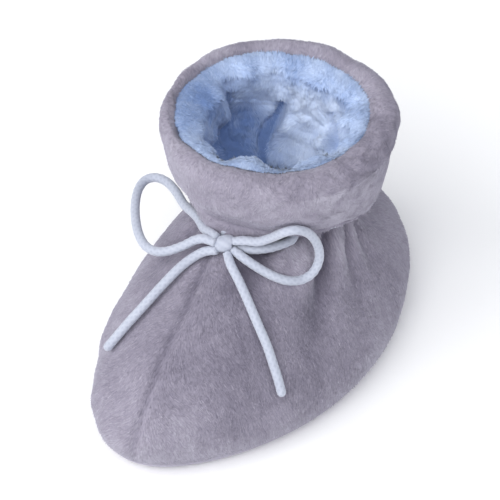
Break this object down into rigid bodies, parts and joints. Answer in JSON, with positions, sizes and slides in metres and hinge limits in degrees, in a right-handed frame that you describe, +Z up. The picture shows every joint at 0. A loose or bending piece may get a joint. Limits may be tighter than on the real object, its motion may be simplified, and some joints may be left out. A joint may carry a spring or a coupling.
{
  "type": "bootie slipper",
  "caption": "Soft plush bootie slipper for a baby, with a turned-over cuff, an open collar, a padded sole and a drawstring tied in a bow in front of the ankle.",
  "frame": {"origin": "on the floor under the middle of the shoe's outline, measured without its bow", "axes": "+Z up; the toe points along -Y and the heel along +Y; +X is the wearer's left side"},
  "size_m": [0.0762, 0.1228, 0.073],
  "materials": {
    "grey_plush": "short-pile grey-mauve plush, matt with a soft sheen along the nap",
    "blue_plush": "longer pale blue plush, matt and fluffy",
    "cord": "round braided cord, bluish white and matt"
  },
  "bodies": {
    "root": {"outsole": "grey_plush", "insole": "blue_plush", "upper": "grey_plush", "cuff": "grey_plush", "drawstring": "cord", "knot": "cord", "loop_left": "cord", "loop_right": "cord", "end_left": "cord", "end_right": "cord"}
  },
  "joints": []
}
